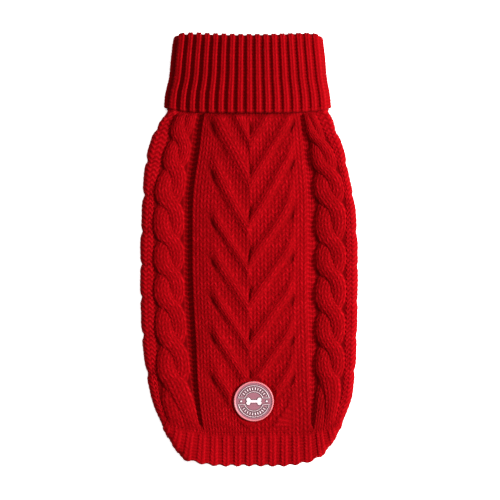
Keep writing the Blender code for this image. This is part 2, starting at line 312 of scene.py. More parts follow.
def back_flat(stitch, row):
    """The back panel laid out flat.

    Stitches count from the middle, and row 0 is the neck seam and row 1 the hem seam. Between two pattern
    edges, or past the side line, a stitch's place is its even share of the way across.
    """
    stitch, row = np.broadcast_arrays(stitch, row)
    column = np.interp(np.abs(stitch), PATTERN_ENDS, PATTERN_COLUMNS)
    along = NECK_SEAM + (hem_height(column) - NECK_SEAM) * row
    flat = np.empty(along.shape + (2,))
    for side, sign, strips in ((LEFT, -1, LEFT_STRIPS), (RIGHT, 1, RIGHT_STRIPS)):
        here = stitch * sign >= 0
        count, high = np.abs(stitch[here]), along[here]
        start, outward = side_line(side, high)
        chevron, gutter, cable = (column_at(strips, edge, high) for edge in (1, 2, 3))
        cable = np.minimum(cable, start[:, 0] - LEAST_STRIP)
        edges = [0 * high, chevron, gutter, cable, start[:, 0]]
        across = 0 * high
        for first, last, near, far in zip(PATTERN_ENDS, PATTERN_ENDS[1:], edges, edges[1:]):
            share = np.clip((count - first) / (last - first), 0, 1)
            across += (far - near) * share
        past = np.maximum(count - SIDE_LINE, 0) / (LIP_END - SIDE_LINE)
        length = past * (math.pi * fold_radius(high) + LIP_WIDTH)
        flat[here] = (np.column_stack([across, high]) + length[:, None] * outward) * (sign, 1)
    return flat


chance = np.random.default_rng(7).uniform(-1, 1, (64, 64))


def uneven(stitch, course):
    """A number from -1 to 1 for each leg of each stitch, picked from a square of random ones."""
    leg, row = np.floor(2 * stitch).astype(int), np.floor(course).astype(int)
    return chance[leg % 64, row % 64]


# A leg of a plain stitch, in stitches: how far its middle is from the stitch's centre and leans in, its half
# width, and how much lower its outer parts lie. Then how far it swells along itself, and how uneven legs are.
LEG_MIDDLE, LEG_LEAN, LEG_HALF, LEG_SLIP = 0.25, 0.04, 0.26, 1.2
LEG_SWELL, LEG_UNEVENNESS = 0.46, 0.16
PLAIN_RELIEF = 0.0006


def plain_stitch(stitch, course):
    """Height, 0 to 1, of plain knitting: each stitch is a V of two plump legs.

    A leg is a bead one course long whose middle leans in from the outside of the stitch to its centre as it
    comes down. Its outer parts lie lower down, and each leg is a little fuller or thinner than the next.
    """
    aside = np.abs(stitch - np.floor(stitch) - 0.5)
    slip = course + LEG_SLIP * aside
    along_leg = slip - np.floor(slip)
    middle = LEG_MIDDLE + LEG_LEAN * np.cos(math.pi * along_leg)
    plump = np.clip(1 - ((aside - middle) / LEG_HALF) ** 2, 0, 1) ** 0.8
    swell = 1 - LEG_SWELL * (0.5 + 0.5 * np.cos(2 * math.pi * along_leg))
    return plump * swell * (1 - LEG_UNEVENNESS * (1 - uneven(stitch, slip)))


# Purl: a bar's bow, in courses; the columns of holes between bars, in stitches, with their depths and half
# width; and in metres the height of bars, how low the purl lies, and the depth of holes.
PURL_BOW = 0.26
HOLE_COLUMNS = ((13.15, 1.0), (14.25, 0.4))
HOLE_HALF = 0.15
BAR_HEIGHT, PURL_DEPTH, HOLE_DEPTH = 0.0007, 0.0006, 0.0010


def purl_stitch(stitch, course):
    """Height, 0 to 1, of purl: rows of short bars, bowed up over each stitch and down between stitches."""
    bow = PURL_BOW * np.cos(2 * math.pi * stitch)
    bar = 0.5 + 0.5 * np.cos(2 * math.pi * (course + bow))
    return bar * (0.9 + 0.1 * np.cos(4 * math.pi * stitch)) * (0.88 + 0.12 * uneven(stitch, course + bow))


def purl_hole(out, course):
    """Depth, 0 to 1, of the small holes between purl stitches, in columns beside the cable and the edge."""
    column = sum(depth * bump(out - place, HOLE_HALF) for place, depth in HOLE_COLUMNS)
    return np.clip(column * (0.5 - 0.5 * np.cos(2 * math.pi * (course + 0.25))) ** 1.5, 0, 1)


# A cable's strand: in stitches, how far it swings from the middle, its half width and how steeply strands
# cross; how flat the swing is; its height, what it gains where it lies over, and how early; then how low the
# cable's foot is, and the crease between strands.
STRAND_SWING, STRAND_HALF, STRAND_TILT = 0.92, 1.30, 0.8
SWING_FLATNESS = 0.8
STRAND_RISE, OVER_RISE, OVER_LEAD = 0.0028, 0.0008, 0.13
CABLE_FOOT = 0.0012
CREASE_DEPTH, CREASE_HALF = 0.0003, 0.0007


def cable_relief(stitch, course, crossing):
    """Height in metres, and height within a stitch from 0 to 1, of a rope cable of two strands.

    Each strand's centre swings across as a flattened sine of the crossing number. One strand rises over the
    other, a little before they cross, and sinks under it at the next crossing. A strand is a dome along which
    the legs of its stitches run. The cloth shows whichever stands higher, with a crease between that is sunk
    and painted dark as shade.
    """
    wave = SWING_FLATNESS * np.sin(math.pi * crossing)
    swing = np.tanh(wave) / math.tanh(SWING_FLATNESS)
    tilt = STRAND_TILT * np.cos(math.pi * crossing) / np.cosh(wave) ** 2
    lean = 1 / np.sqrt(1 + tilt**2)
    early = np.cos(math.pi * (crossing + OVER_LEAD))
    strands = []
    for sign in (1, -1):
        offset = (stitch - STRAND_SWING * sign * swing) * lean**0.6
        dome = np.sqrt(np.clip(1 - (offset / STRAND_HALF) ** 2, 0, 1))
        legs = plain_stitch(1.1 * offset + 1, course + LEG_SLIP * offset * sign * tilt)
        height = STRAND_RISE * dome + OVER_RISE * sign * early + PLAIN_RELIEF * (legs - 1)
        strands.append(np.where(dome > 0, (height, legs), 0.0))
    first, second = strands
    parted = smooth_step(np.abs(first[0] - second[0]) / CREASE_HALF)
    height, fine = np.where(first[0] > second[0], first, second)
    # The crease is painted dark as shade as well as sunk.
    return height - CABLE_FOOT - CREASE_DEPTH * (1 - parted), fine * (0.5 + 0.5 * parted)


def numbered(heights, along):
    """How far down a list of heights each point lies: 0 at the first, 1 at the second, and so on."""
    return np.interp(-along, [-height for height in heights], np.arange(len(heights)))


def eased_run(value):
    """The integral of smooth_step from 0 up to value."""
    held = np.clip(value, 0, 1)
    return held**3 - held**4 / 2 + np.maximum(value - 1, 0)


# The chevrons: heights of their points on the left and on the right, the arms' slopes, how far their middle
# lies below the points, and how much steeper they are higher up. Arms bend up at the sides to an end slope
# and fade out. They are travelling stitches on a wider swell, a pitch apart.
LEFT_POINTS = (0.1385, 0.1020, 0.0730, 0.0285, -0.0080, -0.0378, -0.0720, -0.1013, -0.1344, -0.1690)
RIGHT_POINTS = (0.1300, 0.0925, 0.0590, 0.0270, -0.0054, -0.0398, -0.0748, -0.1103, -0.1424, -0.1760)
ARM_SLOPES, ARM_DROPS = (1.56, 1.42), (0.307, 0.148)
STEEPER, STEEPER_FROM, STEEPER_OVER = 0.2, 0.02, 0.05
ARM_BEND, ARM_END_SLOPE = (0.030, 0.042), 3.0
ARM_FADES, FADE_WIDTH = (0.024, 0.031), 0.010
ARM_HALF, ARM_SWELL, ARM_RISE, ARM_PITCH = 0.0042, 0.0070, 0.0015, 0.033

# Holes where arms are joined: a pit under each arm's outer end, small feet along its lower side, and a slot
# where two arms meet, a little right of the middle. Each is sunk, and painted dark as the shade inside it.
HOLE_DROP = 0.0010
PIT_PLACES, PIT_SIZE = (0.0305, 0.0355), (0.0022, 0.0016)
FEET_START, FEET_END, FEET_HALF = 0.016, 0.038, 0.0017
SLOT_PLACE, SLOT_HALF, SLOT_ABOVE, SLOT_REACH = 0.0008, 0.0010, 0.0055, 0.0032


def chevron_relief(across, along, stitch, course):
    """Height in metres, and height within a stitch from 0 to 1, of the chevron panel.

    Pairs of stitches leave the straight columns at the sides, bend over and travel down to the middle as
    raised arms, which meet there in a slot. An arm's line falls at an even slope and turns up at its outer
    end, and the distance from it is the height over it divided by the slope's length.
    """
    out = np.abs(across)
    to_right = smooth_step(across / 0.003 + 0.5)

    def side(pair):
        return pair[0] + (pair[1] - pair[0]) * to_right

    steep = side(ARM_SLOPES) * (1 + STEEPER * smooth_step((along - STEEPER_FROM) / STEEPER_OVER))
    bend = (out - ARM_BEND[0]) / (ARM_BEND[1] - ARM_BEND[0])
    slope = steep + (ARM_END_SLOPE - steep) * smooth_step(bend)
    line = steep * out + (ARM_END_SLOPE - steep) * (ARM_BEND[1] - ARM_BEND[0]) * eased_run(bend)
    number = side([numbered(points, along - line) for points in (LEFT_POINTS, RIGHT_POINTS)])
    phase = (number - side(ARM_DROPS) + 0.5) % 1 - 0.5
    square = phase * ARM_PITCH / np.hypot(1, slope)
    fade = 1 - smooth_step((out - side(ARM_FADES)) / FADE_WIDTH)
    swell = np.cos(0.5 * math.pi * np.clip(square / ARM_SWELL, -1, 1)) ** 2 * fade
    on_arm = smooth_step((ARM_HALF - np.abs(square)) / 0.0018) * fade
    legs = plain_stitch(square / ARM_HALF + 1, course)
    plain = plain_stitch(stitch, course)
    fine = plain + (legs - plain) * on_arm
    below = square - ARM_HALF - HOLE_DROP
    pit = bump(out - side(PIT_PLACES), PIT_SIZE[0]) * bump(below, PIT_SIZE[1])
    between_legs = 0.5 - 0.5 * np.cos(4 * math.pi * stitch)
    feet = smooth_step((out - FEET_START) / 0.006) * smooth_step((FEET_END - out) / 0.004)
    feet *= bump(below, FEET_HALF) * between_legs
    slot = smooth_step((SLOT_REACH - np.abs(square + SLOT_ABOVE)) / 0.002)
    slot *= bump(across - SLOT_PLACE, SLOT_HALF)
    # Painted shade in the pits, the slot and the feet.
    dark = np.clip(0.9 * pit + 0.8 * slot + 0.5 * feet, 0, 1)
    return ARM_RISE * swell + PLAIN_RELIEF * (fine - 1) - HOLE_DEPTH * dark, fine * (1 - dark)


def wander(across, along):
    """Slow waves of about 1 either way, by which rows and columns of soft knitting stray."""
    waves = np.sin(210 * across + 90 * along) + np.sin(330 * along - 120 * across + 1.3)
    return 0.5 * waves * np.sin(70 * along + 50 * across + 0.4)


# Heights of the cables' crossings, and how far a cable reaches over what is beside it, in stitches.
LEFT_CROSSINGS = (0.1230, 0.0935, 0.0686, 0.0391, 0.0087, -0.0179, -0.0458, -0.0783, -0.1098, -0.190, -0.220)
RIGHT_CROSSINGS = (0.1210, 0.0910, 0.0661, 0.0399, 0.0075, -0.0195, -0.0494, -0.0785, -0.1068, -0.190, -0.220)
CABLE_OVERLAP = 0.1

# How far the chevrons and cables stand over the purl, and how much higher the middle is. Then, on the left
# and on the right, the gutters' depths and painted shades, the left one painted dark as the middle panel's
# shadow, and how rough the purl is, and the height of their rungs. Then how much the painted shade changes
# over a gutter's rungs and over the bars of the strips.
PANEL_LIFT, PANEL_CROWN = 0.0008, 0.0022
GUTTER_DEPTHS, GUTTER_SHADES = (0.0024, 0.0012), (0.06, 0.45)
PURL_ROUGHNESS = (1.0, 0.6)
RUNG_HEIGHT = 0.0006
RUNG_SHADE, STRIP_SHADE = 0.42, 0.62

# The side: stitches to where plain knitting starts and to the fold's edge, the fold's fullness, its notches a
# little before each crossing, and the shoulder where the collar nips it. Each reaches some stitches in.
PLAIN_START, FOLD_EDGE, FOLD_FULLNESS = 14.9, 15.3, 0.0004
NOTCH_DEPTHS, NOTCH_LEAD, NOTCH_HALF = (0.0015, 0.0008), 0.24, 0.1
NECK_SHOULDER, SHOULDER_PLACE, SHOULDER_HALF = 0.0030, 0.1160, 0.0026
FULLNESS_REACH, SHOULDER_REACH = 1.8, 2.4

# How far rows and heights stray, where relief ends under the collar, and where it turns plain for the hem.
ROW_STRAY, HEIGHT_STRAY = 0.22, 0.0003
HIDDEN_FROM, HIDDEN_OVER = 0.1105, 0.004
PLAIN_END = 0.965

# The badge's place near the hem, the widths of the pressed cloth and of the hollow round it, and how high the
# pressed cloth stands under the badge and how far it rises to the hollow.
BADGE_CENTRE, BADGE_RADIUS = (0.0039, -0.1251), 0.0165
PRESSED_WIDTH, HOLLOW_START, HOLLOW_WIDTH = 0.004, 0.010, 0.05
PRESSED_UNDER, PRESSED_RISE = -0.0001, 0.0016


def back_relief(flat, stitch, course):
    """Height in metres of the back's stitches over the cloth's face, and within a stitch from 0 to 1.

    Each pattern is laid over the one before, outwards from the chevrons. Then come the scalloped edge at the
    fold, the shoulder beside the collar and the slow waves of the cloth.
    """
    across, along = flat[..., 0], flat[..., 1]
    out = np.abs(stitch)
    stray = wander(across, along)
    row = course / PANEL_COURSES
    course = course + ROW_STRAY * stray
    sunk, shade, rough, notch_depth = (
        np.where(stitch < 0, *pair) for pair in (GUTTER_DEPTHS, GUTTER_SHADES, PURL_ROUGHNESS, NOTCH_DEPTHS)
    )
    height, fine = chevron_relief(across, along, stitch, course)
    to_badge = np.hypot(across - BADGE_CENTRE[0], along - BADGE_CENTRE[1]) - BADGE_RADIUS
    crown = PANEL_CROWN * smooth_step((to_badge - HOLLOW_START) / HOLLOW_WIDTH)
    height += PANEL_LIFT + crown * (1 - np.clip(out / CHEVRON_END, 0, 1) ** 3)
    pressed_height = PRESSED_RISE * smooth_step(to_badge / PRESSED_WIDTH) + PRESSED_UNDER
    height = np.where(to_badge < PRESSED_WIDTH, np.minimum(height, pressed_height), height)

    def lay(where, new_height, new_fine):
        height[where] = np.broadcast_to(new_height, out.shape)[where]
        fine[where] = np.broadcast_to(new_fine, out.shape)[where]

    left, right = (numbered(heights, along) for heights in (LEFT_CROSSINGS, RIGHT_CROSSINGS))
    crossing = np.where(stitch < 0, left, right)
    rope, legs = cable_relief(stitch - np.sign(stitch) * (GUTTER_END + CABLE_END) / 2, course, crossing)
    cable_start, cable_end = GUTTER_END - CABLE_OVERLAP, CABLE_END + CABLE_OVERLAP
    lay((out > cable_start) & (out < cable_end), rope + PANEL_LIFT, legs)
    rung = (0.5 + 0.5 * np.cos(2 * math.pi * (course + 0.12 * np.cos(2 * math.pi * out)))) ** 1.8
    # The gutters: painted shade, dark on the left as the middle panel's shadow, lighter on the rungs.
    in_gutter = (out > CHEVRON_END) & (out <= cable_start)
    lay(in_gutter, RUNG_HEIGHT * rough * rung - sunk, shade + RUNG_SHADE * rung)
    # The purl strips: painted shade between the bars and in the holes.
    bars, hole = purl_stitch(stitch, course), rough * purl_hole(out, course)
    strip = BAR_HEIGHT * rough * bars - PURL_DEPTH - HOLE_DEPTH * hole
    lay((out >= cable_end) & (out < PLAIN_START), strip, (1 - STRIP_SHADE * (1 - bars)) * (1 - hole))
    plain = plain_stitch(stitch, course)
    # The lip: plain knitting, painted darker between its stitches.
    lay(out >= PLAIN_START, PLAIN_RELIEF * (plain - 1), 0.3 + 0.7 * plain)
    from_fold = np.abs(out - FOLD_EDGE)
    notch = bump((crossing + NOTCH_LEAD + 0.5) % 1 - 0.5, NOTCH_HALF)
    scallop = (FOLD_FULLNESS - notch_depth * notch) * smooth_step(1 - from_fold / FULLNESS_REACH)
    shoulder = NECK_SHOULDER * bump(along - SHOULDER_PLACE, SHOULDER_HALF)
    shoulder = shoulder * smooth_step(1 - from_fold / SHOULDER_REACH)
    shown = 1 - smooth_step((along - HIDDEN_FROM) / HIDDEN_OVER)
    ending = smooth_step((row - PLAIN_END) / (1 - PLAIN_END))
    height = height + scallop + HEIGHT_STRAY * stray
    height += (PLAIN_RELIEF * (plain - 1) - height) * ending
    return shown * height + shoulder, fine + (plain - fine) * ending


def raised(middle, lift, joined=False):
    """A middle surface moved out along its normals by lift. Rows run down and columns to the right."""
    wide = np.concatenate([middle[:, -2:-1], middle, middle[:, 1:2]], axis=1) if joined else middle
    down, across = np.gradient(wide, axis=0), np.gradient(wide, axis=1)
    normal = np.cross(down, across)
    normal /= np.maximum(np.linalg.norm(normal, axis=-1, keepdims=True), 1e-12)
    normal = normal[:, 1:-1] if joined else normal
    return middle + normal * np.asarray(lift)[..., None]


def quads(index):
    """The four corners of each cell in a grid of point numbers."""
    corners = [index[:-1, :-1], index[1:, :-1], index[1:, 1:], index[:-1, 1:]]
    return np.stack(corners, axis=-1).reshape(-1, 4)


def shell(name, outer, inner, stitch, course, fine, joined=False):
    """A closed wall of cloth between a fine outer grid of points and a coarse inner one.

    Both are joined by a rim of triangles along their free edges, and where joined, the last column is the
    first one again. Each outer point has its stitch and course and its height within a stitch, 0 to 1, which
    it keeps as painted shade: the lower, the darker. Inner points get half painted shade. The bake map
    has the outer grid on top, the inner one under it and the rims in strips below.
    """
    close = np.arange(outer[..., 0].size).reshape(outer.shape[:2])
    wide = close.size + np.arange(inner[..., 0].size).reshape(inner.shape[:2])
    edges = [(close[0], wide[0]), (close[-1, ::-1], wide[-1, ::-1])]
    if not joined:
        edges += [(close[::-1, 0], wide[::-1, 0]), (close[:, -1], wide[:, -1])]
    triangles, rim_uv = [], []
    for number, (far, near) in enumerate(edges):
        step = (len(far) - 1) // (len(near) - 1)
        segment = np.arange(len(far) - 1)
        anchor = segment // step + (segment % step >= step // 2)
        block = np.arange(len(near) - 1)
        half = block * step + step // 2
        triangles += [
            np.stack([far[:-1], far[1:], near[anchor]], axis=-1),
            np.stack([far[half], near[1:], near[:-1]], axis=-1),
        ]
        low = 0.004 + 0.012 * number
        u_far, u_near = (0.01 + 0.98 * np.linspace(0, 1, len(e)) for e in (far, near))
        for us, vs in (
            ((u_far[:-1], u_far[1:], u_near[anchor]), (1, 1, 0)),
            ((u_far[half], u_near[1:], u_near[:-1]), (1, 0, 0)),
        ):
            v = np.broadcast_to(low + 0.008 * np.array(vs), (len(us[0]), 3))
            rim_uv.append(np.stack([np.stack(us, axis=-1), v], axis=-1).reshape(-1, 2))
    faces4 = np.concatenate([quads(close), quads(wide)[:, ::-1]])
    faces3 = np.concatenate(triangles)
    loops = np.concatenate([faces4.ravel(), faces3.ravel()])
    starts = np.concatenate([4 * np.arange(len(faces4)), faces4.size + 3 * np.arange(len(faces3))])

    def spread(shape, low, high):
        v, u = np.meshgrid(np.linspace(high, low, shape[0]), np.linspace(0.01, 0.99, shape[1]), indexing="ij")
        return np.stack([u, v], axis=-1).reshape(-1, 2)

    laid = np.concatenate([spread(close.shape, 0.26, 0.99), spread(wide.shape, 0.07, 0.24)])
    bake_uv = np.concatenate([laid[faces4.ravel()], *rim_uv])
    knit = np.stack([stitch, course], axis=-1)
    knit_points = np.concatenate([knit.reshape(-1, 2), knit[::COARSE, ::COARSE].reshape(-1, 2)])
    # Painted shade: 1 less the height within a stitch on the outer face, and half on the inner one.
    painted_shades = np.concatenate([1 - fine.ravel(), np.full(wide.size, 0.5)])
    points = np.concatenate([outer.reshape(-1, 3), inner.reshape(-1, 3)])
    knit_uv = knit_points[loops]
    if joined:
        index = np.arange(len(points))
        index[close[:, -1]] = close[:, 0]
        index[wide[:, -1]] = wide[:, 0]
        kept = np.unique(index)
        loops = np.searchsorted(kept, index[loops])
        points, painted_shades = points[kept], painted_shades[kept]

    mesh = bpy.data.meshes.new(name)
    mesh.vertices.add(len(points))
    mesh.vertices.foreach_set("co", points.astype(np.float32).ravel())
    mesh.loops.add(len(loops))
    mesh.loops.foreach_set("vertex_index", loops.astype(np.int32))
    mesh.polygons.add(len(starts))
    mesh.polygons.foreach_set("loop_start", starts.astype(np.int32))
    mesh.update(calc_edges=True)
    for layer, values in (("OFBake", bake_uv), ("knit", knit_uv)):
        mesh.uv_layers.new(name=layer).data.foreach_set("uv", values.astype(np.float32).ravel())
    mesh.attributes.new("painted_shade", "FLOAT", "POINT").data.foreach_set("value", painted_shades.astype(np.float32))
    mesh.shade_smooth()
    return add_object(name, mesh)


def outer_face(middle, relief, joined=False):
    """The cloth's outer face, with its stitches on it and none of it below the table."""
    points = raised(middle, WALL / 2 + relief, joined)
    points[..., 2] = np.maximum(points[..., 2], 0)
    return points


def inner_face(middle, lift=0.0, joined=False):
    """The inner face of the cloth's wall: each fourth row and column, with both ends."""
    return raised(middle, lift - WALL / 2, joined)[::COARSE, ::COARSE]


def counts(first, last, per):
    """Evenly spaced numbers from first to last, about per to each whole one, in whole coarse steps."""
    steps = COARSE * max(1, round((last - first) * per / COARSE))
    return np.linspace(first, last, steps + 1)


class Field:
    """A number that varies over a surface. Arithmetic on it adds Math nodes to its material."""

    def __init__(self, socket):
        self.socket = socket

    def math(self, operation, *others):
        return add_node(self.socket.node.id_data, "Math", {"operation": operation}, [self, *others])

    def __add__(self, other):
        return self.math("ADD", other)

    __radd__ = __add__

    def __mul__(self, other):
        return self.math("MULTIPLY", other)

    __rmul__ = __mul__

    def __sub__(self, other):
        return self.math("SUBTRACT", other)

    def __rsub__(self, other):
        return (self * -1) + other

    def __pow__(self, other):
        return self.math("POWER", other)


def add_node(tree, kind, settings, inputs, output=None):
    """Adds a node of this type, with its settings first and then its sockets' values or links.

    Gives the output of this name, or else the first one in use.
    """
    node = tree.nodes.new("ShaderNode" + kind)
    for key, value in settings.items():
        setattr(node, key, value)
    named = inputs.items() if isinstance(inputs, dict) else enumerate(inputs)
    for key, value in named:
        if isinstance(value, Field):
            tree.links.new(value.socket, node.inputs[key])
        else:
            node.inputs[key].default_value = value
    first = next(socket for socket in node.outputs if socket.enabled)
    return Field(node.outputs[output] if output else first)


def mixed(tree, share, first, second):
    """One colour turning into another as share goes from 0 to 1."""
    return add_node(tree, "Mix", {"data_type": "RGBA"}, {0: share, 6: first, 7: second})


# The yarn's reds: where the dye took more and less and in the fuzz, then a painted highlight on top of
# stitches and painted shade deep between them.
DYES = ((0.160, 0.0001, 0.0008, 1), (0.215, 0.0002, 0.0014, 1))
FUZZ_RED, PAINTED_HIGHLIGHT_RED = (0.35, 0.001, 0.004, 1), (0.43, 0.003, 0.009, 1)
PAINTED_SHADE_RED = (0.040, 0.0001, 0.0004, 1)


def knit_material(name):
    """Red yarn, uneven in dye, with a soft nap; painted shade between stitches, painted highlight on top."""
    material, tree, shader = add_material(name)
    place = add_node(tree, "TexCoord", {}, {}, "Object")
    stitches = add_node(tree, "UVMap", {"uv_map": "knit"}, {})
    painted_shade = add_node(tree, "Attribute", {"attribute_name": "painted_shade"}, {}, "Fac")
    cloud = add_node(tree, "TexNoise", {}, {"Vector": place, "Scale": 60.0, "Detail": 3.0})
    stretched = add_node(tree, "Mapping", {}, {"Vector": stitches, "Scale": (40.0, 7.0, 1.0)})
    fibre = add_node(tree, "TexNoise", {}, {"Vector": stretched, "Scale": 1.0, "Detail": 4.0})
    fuzz = add_node(tree, "TexNoise", {}, {"Vector": place, "Scale": 1000.0, "Detail": 3.0, "Roughness": 0.6})
    # Painted shade deep between the stitches, and a painted highlight on their tops broken up by the fuzz.
    deep = add_node(tree, "Math", {"operation": "MULTIPLY", "use_clamp": True}, [painted_shade**1.3, 0.66])
    painted_highlight = add_node(tree, "Math", {"operation": "POWER", "use_clamp": True}, [1 - painted_shade, 3.0])
    red = mixed(tree, cloud, *DYES)
    red = mixed(tree, fuzz * 0.3, red, FUZZ_RED)
    red = mixed(tree, painted_highlight * fuzz, red, PAINTED_HIGHLIGHT_RED)
    red = mixed(tree, deep, red, PAINTED_SHADE_RED)
    tree.links.new(red.socket, shader.inputs["Base Color"])
    shader.inputs["Roughness"].default_value = 0.9
    shader.inputs["Specular IOR Level"].default_value = 0.02
    shader.inputs["Sheen Weight"].default_value = 0.01
    shader.inputs["Sheen Roughness"].default_value = 0.45
    shader.inputs["Sheen Tint"].default_value = (1.0, 0.25, 0.25, 1)
    nap = add_node(tree, "Bump", {}, {"Strength": 0.7, "Distance": 0.0006, "Height": fibre * 0.4 + fuzz})
    tree.links.new(nap.socket, shader.inputs["Normal"])
    return material


red_yarn = knit_material("red_yarn")


def finish_cloth(piece, node):
    """Red yarn on a piece of the sweater, hung on the root, which stands for its CAD node and hides it."""
    piece.data.materials.append(red_yarn)
    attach(piece, "root")
    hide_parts(node)


# The back is one cut piece, 246 mm by 270 mm, and is drawn as three strips of it.
back_courses = counts(0, PANEL_COURSES, PER_COURSE)[:, None]
seam = GUTTER_END - 0.5
for name, first, last in (
    ("back_left", -LIP_END, -seam),
    ("back_middle", -seam, seam),
    ("back_right", seam, LIP_END),
):
    stitches = counts(first, last, PER_STITCH)[None, :]
    flat = back_flat(stitches, back_courses / PANEL_COURSES)
    stitch, course = np.broadcast_arrays(stitches, back_courses)
    relief, fine = back_relief(flat, stitch, course)
    middle = folded(flat)
    piece = shell(name, outer_face(middle, relief), inner_face(middle), stitch, course, fine)
    finish_cloth(piece, "back_panel")


# The collar: a ribbed tube, one knit stitch and one purl in turn, knitted on to the neck and folded over
# once. The rib closes up at the turned-down edge, where the stitches are cast off in a thick soft chain.

COLLAR_TOP = 0.1807
FLAP_END = 0.1135
FLAP_END_RISE = 0.0025
CORNER_DROP = 0.0030
CORNER_START = 0.75
CORNER_SPREAD = 0.15
MIDDLE_DIP = 0.0022
COLLAR_CROWN = 0.003
COLLAR_RIDGE, COLLAR_LEAN = 0.6, 0.35
COLLAR_RIBS_ACROSS = 16
COLLAR_RIBS_TURN = 2
COLLAR_COURSES = 22
PER_RIB = 12

# The rib's ridges and valleys, and the height of their stitches. Then how quickly rib closes up at a cast-off
# edge, the width and depth of the edge's rounding, the width, share of relief and lift of the collar's own
# cast-off edge, and how far the tube's inside is pressed.
RIDGE_HEIGHT, VALLEY_DEPTH, VALLEY_BARS, RIDGE_LEGS = 0.0011, 0.0012, 0.0004, 0.0007
CLOSING, EDGE_ROUND, EDGE_DROP = 0.0015, 0.0016, 0.0022
COLLAR_CAST_OFF = (0.0040, 0.6, 0.0004)
INSIDE_PRESS = 0.0006

# Painted shade of rib, darker in its hollows: on top of ridges, beside their legs when shallow and how much
# more when deep, in the valleys and between their bars.
RIDGE_SHADE, LEG_SHADES = 0.89, (0.35, 0.3)
VALLEY_SHADE, BAR_SHADE = 0.6, 0.8

# Outline of the folded collar: height, half width to the left, half width to the right.
COLLAR_OUTLINE = (
    (0.1820, 0.0618, 0.0610),
    (0.1749, 0.0623, 0.0615),
    (0.1583, 0.0640, 0.0632),
    (0.1417, 0.0658, 0.0648),
    (0.1284, 0.0688, 0.0671),
    (0.1183, 0.0696, 0.0679),
    (0.1100, 0.0696, 0.0679),
)


def collar_middle(rib, inside, over, flap):
    """The collar's middle surface, a stack of flattened rings from the neck seam up, over and down the flap.

    Ribs are counted round each ring: straight across the back, round a half circle, back underneath and
    round again. inside and flap hold shares of the way to the fold, over the angles round it.
    """
    straight, round_end = COLLAR_RIBS_ACROSS, COLLAR_RIBS_TURN
    half = straight + round_end
    place = rib % half
    sign = np.where(rib % (2 * half) < half, 1, -1)
    reach = sign * np.clip(2 * place / straight - 1, -1, 1)
    turn = math.pi * (np.clip((place - straight) / round_end, 0, 1) + (sign < 0))
    hairpin = CLOTH_PITCH / 2
    share = np.concatenate([inside, np.ones(len(over)), flap])[:, None]
    lift = np.concatenate([0 * inside, hairpin * np.sin(over), 0 * flap])[:, None]
    grown = np.concatenate([0 * inside, hairpin * (1 - np.cos(over)), CLOTH_PITCH + 0 * flap])[:, None]
    on_flap = np.concatenate([0 * inside, over > math.pi / 2, 1 + 0 * flap])[:, None]
    radius = NECK_FOLD_RADIUS + grown
    spread = np.abs(reach) + CORNER_SPREAD * np.abs(np.sin(turn))
    corner = np.maximum(spread - CORNER_START, 0) / (1 + CORNER_SPREAD - CORNER_START)
    lowered = CORNER_DROP * corner**2 + MIDDLE_DIP * (1 - reach**2)
    top = COLLAR_TOP - WALL / 2 - CLOTH_PITCH / 2 - lowered
    bottom = np.where(on_flap > 0, FLAP_END + FLAP_END_RISE * spread**4, NECK_SEAM + SEAM_GAP)
    along = bottom + (top - bottom) * share + lift
    outmost = NECK_FOLD_RADIUS + CLOTH_PITCH + WALL / 2
    left = column_at(COLLAR_OUTLINE, LEFT, along) - outmost
    right = column_at(COLLAR_OUTLINE, RIGHT, along) - outmost
    across = np.where(reach < 0, left, right) * reach + radius * np.sin(turn)
    height = WALL / 2 + CLOTH_PITCH + LAYER_PITCH / 2 + radius * np.cos(turn)
    return np.stack([across, along, height], axis=-1)


def rib_relief(rib, course, knit_share, deep=1):
    """Height in metres, and within a stitch from 0 to 1, of rib: flat-topped ridges and purl valleys.

    A ridge is one column of stitches, so it shows two rows of legs, near its edges, with a shallow groove
    between them. It takes up knit_share of each rib.
    """
    offset = rib - np.round(rib)
    reach = np.abs(offset) / (knit_share / 2)
    ridge_top = np.clip(1 - reach**4, 0, 1) ** 0.5
    legs = plain_stitch(0.75 * offset / knit_share + 0.5, course)
    bars = purl_stitch(rib, course)
    valley = VALLEY_BARS * bars - VALLEY_DEPTH * deep
    ridge = RIDGE_HEIGHT * deep * ridge_top + RIDGE_LEGS * (legs - 1)
    on_ridge = (reach < 1) & (ridge > valley)
    # Painted shade: darker in the valleys and between their bars, and beside the legs on the ridges.
    in_valley = (1 - VALLEY_SHADE * deep) * (1 - BAR_SHADE * deep * (1 - bars))
    on_top = RIDGE_SHADE - (LEG_SHADES[0] + LEG_SHADES[1] * deep) * (1 - legs)
    fine = np.where(on_ridge, on_top, in_valley)
    return np.where(on_ridge, ridge, valley), np.clip(fine, 0, 1)


def cast_off(relief, to_edge, width, share, lift):
    """Relief with a cast-off edge: within width of it the rib closes up to a share of itself and lifts.

    The very edge rounds off along a quarter of an oval.
    """
    relief = relief + (share * relief + lift - relief) * smooth_step((width - to_edge) / CLOSING)
    rounding = 1 - np.sqrt(np.clip(1 - (1 - to_edge / EDGE_ROUND) ** 2, 0, 1))
    return relief - EDGE_DROP * rounding * (to_edge < EDGE_ROUND)


